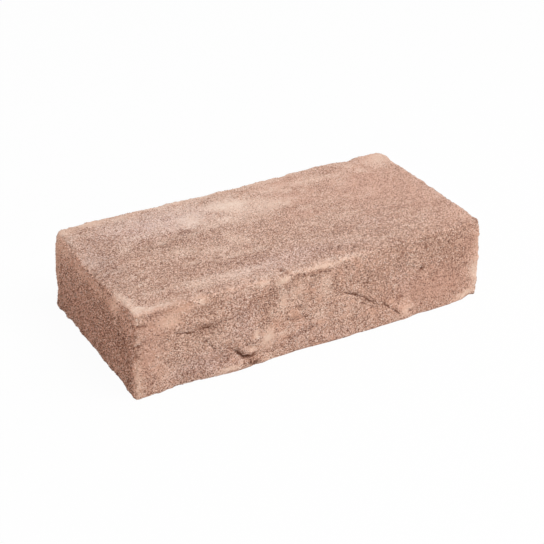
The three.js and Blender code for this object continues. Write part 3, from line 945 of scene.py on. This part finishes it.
BUMP_STRENGTH = 0.6

clay, shader, make = new_material("fired_clay", Metallic=0.0, Specular_IOR_Level=MATT)
position = make.node("ShaderNodeTexCoord", {}, {}, "Object")


def mask(name):
    return make.node("ShaderNodeAttribute", {"attribute_name": name}, {}, "Fac")


def noise(scale, detail=2.0, roughness=0.5):
    sockets = {"Vector": position, "Scale": scale, "Detail": detail, "Roughness": roughness}
    return make.node("ShaderNodeTexNoise", {}, sockets, 0)


def grain_cells(output):
    sockets = {"Vector": position, "Scale": GRAINS_PER_METRE}
    return make.node("ShaderNodeTexVoronoi", {}, sockets, output)


# The finest sand: a tone for each grain, lighter or darker where the coat is.
grain_tone = make.node("ShaderNodeSeparateColor", {}, {"Color": grain_cells("Color")}, 0)
grain_height = 1 - GRAIN_STEEPNESS * grain_cells("Distance")
cloud = noise(CLOUDS_PER_METRE, 4, 0.6) - 0.5
tone = grain_tone + CLOUDS_IN_TONE * cloud + CREAM_IN_TONE * mask("cream")
# The dark mask darkens the sand, for painted shade and for darker sand.
tone = tone + GREY_IN_TONE * mask("grey") - DARK_AND_SHADE_IN_TONE * mask("dark")
sanded = make.node("ShaderNodeValToRGB", {"stops": SAND_TONES}, {"Fac": tone.clamp()}, 0)
sanded = (CREAM_IN_SAND * mask("cream")).clamp().blend(sanded, CREAM_CLAY)
sanded = mask("grey").clamp().blend(sanded, GREY_TINT, "MULTIPLY")
pinked = mask("pink") * (1 - PINK_LOST_WHERE_CREAM * mask("cream"))
sanded = (PINK_IN_SAND * pinked).clamp().blend(sanded, PINK_CLAY)

# The clay between the grains and in the bare places.
bare_clay = (CREAM_IN_CLAY * mask("cream")).clamp().blend(PEACH_CLAY, CREAM_CLAY)
bare_clay = (PINK_IN_CLAY * pinked).clamp().blend(bare_clay, PINK_CLAY)
# The dark mask darkens the clay, for painted shade and for darker clay.
bare_clay = mask("dark").clamp().blend(bare_clay, DARK_AND_SHADE_TINT, "MULTIPLY")
bare_clay = noise(STAINS_PER_METRE, 4, 0.7).blend(bare_clay, STAINED_CLAY, "MULTIPLY")

# Sand over clay with a ragged edge, then the tints of the faces and painted shade in the creases,
# the pits and the hairline gaps along the creases.
ragged = SAND_RAGGEDNESS * (noise(SAND_EDGES_PER_METRE, 3, 0.6) - 0.5)
sand_edge = (SAND_SHARPNESS * mask("sand") - SAND_THRESHOLD + ragged).clamp()
sand_edge = sand_edge * (1 - SAND_LEAST) + SAND_LEAST
colour = sand_edge.blend(bare_clay, sanded)
colour = mask("upright").blend(colour, FACE_TINT, "MULTIPLY")
# The left end's warmer tint is painted colour of the shade it lies in.
colour = mask("left_end").blend(colour, LEFT_END_SHADE_TINT, "MULTIPLY")
colour = (CREVICE_SHADE * mask("crevice")).clamp().blend(colour, SHADED_CLAY)
gap_side = mask("gap_offset") + GAP_RAGGEDNESS * (noise(GAP_EDGES_PER_METRE, 3, 0.6) - 0.5)
gap_edge = abs(gap_side) / (mask("gap_width") + NEARLY_NOTHING)
gap = (GAP_SOFTNESS - GAP_SOFTNESS * gap_edge).clamp()
gap = gap * (GAP_CONTRAST * noise(GAP_BREAKS_PER_METRE) - GAP_BREAKS).clamp()
colour = (GAP_SHADE * gap).blend(colour, SHADED_CLAY)
make.tree.links.new(colour.socket, shader.inputs["Base Color"])
roughness = CLAY_ROUGHNESS - GRAIN_SMOOTHER * grain_tone * mask("sand").clamp()
make.tree.links.new(roughness.socket, shader.inputs["Roughness"])
relief = sand_edge * grain_height + CRUMB_RELIEF * noise(CRUMBS_PER_METRE, 4, 0.65)
relief = relief - GAP_RELIEF * gap
bump = make.node("ShaderNodeBump", {},
                 {"Height": relief, "Distance": BUMP_HEIGHT, "Strength": BUMP_STRENGTH}, 0)
make.tree.links.new(bump.socket, shader.inputs["Normal"])

brick_mesh.materials.append(clay)
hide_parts("brick")
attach(brick, "root")

# ---------------------------------------------------------------------------------------------
# The sand. The mould was dusted with it, so the clot came out coated, and the kiln fused the
# grains to the clay. They are dark and plum-brown, tan and rose, with a little white quartz, and
# lie half sunk in the faces, thinly on bare clay. One piece for each face.
SMALLEST = 0.6  # the share of the usual grain size
LARGEST = 1.35
FLATTEST = 0.75
ROUNDEST = 1.05
GREY_LIGHTER = 0.12
CREAM_LIGHTER = 0.45
DARK_AND_SHADE_DARKER = 0.4
PINK_EVENER = 0.25
SIZE_SEED = 77
FIRST_SEED = 11
LOWEST_GRAIN = 0.02 * MM  # no grain hangs below the bed
SAND_COLOURS = [  # name, the tone it ends at, colour and roughness
    ("umber", 0.15, (0.13, 0.052, 0.033), 0.85),
    ("plum", 0.38, (0.34, 0.178, 0.125), 0.85),
    ("tan", 0.60, (0.59, 0.37, 0.27), 0.8),
    ("rose", 0.86, (0.74, 0.495, 0.385), 0.8),
    ("quartz", None, (0.93, 0.80, 0.71), 0.45),
]
SAND_INPUTS = {
    "Geometry": "NodeSocketGeometry",
    "Side": "NodeSocketInt",
    "Seed": "NodeSocketInt",
    "Grain size": "NodeSocketFloat",
    "Grains per square metre": "NodeSocketFloat",
    "Darker": "NodeSocketFloat",
    "Tone spread": "NodeSocketFloat",
}
# Each face's coat: its tint, the usual size of its grains in millimetres, grains per square
# metre, how far their tones spread, and how much darker they are.
SAND_COATS = [
    ("sand_top", TOP, (1.01, 0.98, 0.965), 0.59, 1.17e6, 0.9, 0.03),
    ("sand_bed", BED, (1, 1, 1), 0.64, 0.8e6, 1.0, 0.0),
    ("sand_front", FRONT, (1.03, 0.99, 0.96), 0.58, 1.85e6, 1.15, 0.03),
    ("sand_back", BACK, (1.03, 0.99, 0.96), 0.7, 1.1e6, 1.0, 0.03),
    # The left end's grains are warmer and a little lighter: painted colour of the shade that this
    # end lies in.
    ("sand_left_end", LEFT_END, (1.16, 1.0, 0.93), 0.66, 2.2e6, 1.35, -0.02),
    ("sand_right_end", RIGHT_END, (1.03, 0.99, 0.96), 0.72, 1.1e6, 1.0, 0.03),
]


def sand_tree(materials):
    """Scatters grains over the faces of one side, as thickly as the sand mask says."""
    tree = bpy.data.node_groups.new("sand_coat", "GeometryNodeTree")
    keys = {}
    for label, kind in SAND_INPUTS.items():
        socket = tree.interface.new_socket(name=label, in_out="INPUT", socket_type=kind)
        keys[label] = socket.identifier
    tree.interface.new_socket(name="Geometry", in_out="OUTPUT", socket_type="NodeSocketGeometry")
    entry = tree.nodes.new("NodeGroupInput")
    asked = {label: Signal(tree, entry.outputs[label]) for label in SAND_INPUTS}
    make = Signal(tree)

    def attribute(name, kind="FLOAT"):
        return make.node("GeometryNodeInputNamedAttribute", {"data_type": kind}, {"Name": name})

    def chance(kind, least, most, seed):
        """A random value for each grain: vectors use the node's first sockets, numbers the next."""
        first = {"FLOAT_VECTOR": 0, "FLOAT": 2}[kind]
        sockets = {first: least, first + 1: most, "Seed": seed}
        return make.node("FunctionNodeRandomValue", {"data_type": kind}, sockets, first // 2)

    on_side = make.node("FunctionNodeCompare", {"data_type": "INT", "operation": "EQUAL"},
                        {2: attribute("side", "INT"), 3: asked["Side"]})
    points = make.node("GeometryNodeDistributePointsOnFaces", {}, {
        "Mesh": asked["Geometry"],
        "Selection": on_side,
        "Density": asked["Grains per square metre"] * attribute("sand"),
        "Seed": asked["Seed"],
    })
    lighter = GREY_LIGHTER * attribute("grey") + CREAM_LIGHTER * attribute("cream")
    # Grains are darker under the dark mask, for painted shade and for darker sand.
    darker = DARK_AND_SHADE_DARKER * attribute("dark") + asked["Darker"]
    spread = (chance("FLOAT", 0.0, 1.0, asked["Seed"]) - 0.5) * asked["Tone spread"]
    spread = spread * (1 - PINK_EVENER * attribute("pink"))
    tone = (spread + 0.5) + (lighter - darker)
    points = make.node("GeometryNodeStoreNamedAttribute", {"data_type": "FLOAT", "domain": "POINT"},
                       {"Geometry": points, "Name": "tone", "Value": tone})
    grain = make.node("GeometryNodeMeshUVSphere", {}, {"Segments": 4, "Rings": 2, "Radius": 0.5})
    spin = chance("FLOAT_VECTOR", (0, 0, 0), (2 * math.pi,) * 3, asked["Seed"])
    girth = chance("FLOAT_VECTOR", (FLATTEST,) * 3, (ROUNDEST,) * 3, asked["Seed"])
    usual = chance("FLOAT", SMALLEST, LARGEST, SIZE_SEED) * asked["Grain size"]
    size = make.node("ShaderNodeVectorMath", {"operation": "SCALE"}, {0: girth, "Scale": usual})
    coat = make.node("GeometryNodeInstanceOnPoints", {},
                     {"Points": points, "Instance": grain, "Rotation": spin, "Scale": size})
    coat = make.node("GeometryNodeRealizeInstances", {}, {"Geometry": coat})
    coat = make.node("GeometryNodeSetShadeSmooth", {}, {"Geometry": coat})
    coat = make.node("GeometryNodeSetMaterial", {}, {"Geometry": coat, "Material": materials[-1]})
    for material, (_, limit, _, _) in reversed(list(zip(materials, SAND_COLOURS[:-1]))):
        below = attribute("tone") < limit
        coat = make.node("GeometryNodeSetMaterial", {},
                         {"Geometry": coat, "Selection": below, "Material": material})
    leave = tree.nodes.new("NodeGroupOutput")
    tree.links.new(coat.socket, leave.inputs[0])
    return tree, keys


for name, side, tint, size, density, spread, darker in SAND_COATS:
    materials = []
    for colour_name, _, plain_colour, roughness in SAND_COLOURS:
        tinted = [level * change for level, change in zip(plain_colour, tint)]
        material, _, _ = new_material(
            name + "_" + colour_name, Base_Color=(*tinted, 1), Roughness=roughness,
            Specular_IOR_Level=MATT,
        )
        materials.append(material)
    tree, keys = sand_tree(materials)
    modifier = brick.modifiers.new("sand_coat", "NODES")
    modifier.node_group = tree
    for label, value in (
        ("Side", side),
        ("Seed", FIRST_SEED + side),
        ("Grain size", size * MM),
        ("Grains per square metre", density),
        ("Darker", darker),
        ("Tone spread", spread),
    ):
        modifier[keys[label]] = value
    evaluated = brick.evaluated_get(bpy.context.evaluated_depsgraph_get())
    coat = bpy.data.meshes.new_from_object(evaluated)
    brick.modifiers.remove(modifier)
    coat.materials.pop(index=0)
    grain_corners = np.empty(3 * len(coat.vertices), np.float32)
    coat.vertices.foreach_get("co", grain_corners)
    grain_corners[2::3] = np.maximum(grain_corners[2::3], LOWEST_GRAIN)
    coat.vertices.foreach_set("co", grain_corners)
    piece = bpy.data.objects.new(name, coat)
    bpy.context.scene.collection.objects.link(piece)
    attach(piece, "root")

# ---------------------------------------------------------------------------------------------
# The studio. A plain pale floor, one large soft lamp high on the right of the front face, and an
# even pale surround. The camera sees the floor and the surround as plain white.
FLOOR_HALF = 3.0
FLOOR_COLOUR = (0.8, 0.8, 0.8, 1)
SHADOW_SHARE = 0.04  # how much of the floor's own shading, and so of the shadow, the camera sees
KEY_DIRECTION = Vector((0.34, -0.50, 0.95)).normalized()
KEY_DISTANCE = 1.3
KEY_SIZE = 0.9
KEY_POWER = 12
SURROUND_STRENGTH = 0.5
WHITE = (1, 1, 1, 1)

corners = [(-FLOOR_HALF, -FLOOR_HALF, 0), (FLOOR_HALF, -FLOOR_HALF, 0),
           (FLOOR_HALF, FLOOR_HALF, 0), (-FLOOR_HALF, FLOOR_HALF, 0)]
floor_mesh = bpy.data.meshes.new("floor")
floor_mesh.from_pydata(corners, [], [(0, 1, 2, 3)])
floor = bpy.data.objects.new("floor", floor_mesh)
bpy.context.scene.collection.objects.link(floor)


def seen_white(make):
    """1 for what the camera sees directly, in a mirror or through glass, otherwise 0."""
    path = [make.node("ShaderNodeLightPath", {}, {}, name)
            for name in ("Is Camera Ray", "Is Glossy Ray", "Is Transmission Ray")]
    return (path[0] + path[1] + path[2]).clamp()


paper, shader, make = new_material("pale_floor", Base_Color=FLOOR_COLOUR, Roughness=1.0)
glow = make.node("ShaderNodeEmission", {}, {"Color": WHITE, "Strength": 1.0}, 0)
shown = make.node(
    "ShaderNodeMixShader", {},
    {0: seen_white(make) * (1 - SHADOW_SHARE), 1: Signal(make.tree, shader.outputs[0]), 2: glow},
    0,
)
make.tree.links.new(shown.socket, make.tree.nodes["Material Output"].inputs["Surface"])
floor_mesh.materials.append(paper)

lamp_data = bpy.data.lights.new("key", "AREA")
lamp_data.shape = "DISK"
lamp_data.size = KEY_SIZE
lamp_data.energy = KEY_POWER
lamp = bpy.data.objects.new("key", lamp_data)
lamp.location = KEY_DIRECTION * KEY_DISTANCE
lamp.rotation_euler = KEY_DIRECTION.to_track_quat("Z", "Y").to_euler()
bpy.context.scene.collection.objects.link(lamp)

surround = bpy.data.worlds.new("surround")
surround.use_nodes = True
bpy.context.scene.world = surround
make = Signal(surround.node_tree)
background = surround.node_tree.nodes["Background"]
background.inputs["Color"].default_value = WHITE
strength = SURROUND_STRENGTH + (1 - SURROUND_STRENGTH) * seen_white(make)
surround.node_tree.links.new(strength.socket, background.inputs["Strength"])

bpy.context.scene.view_settings.view_transform = "Standard"
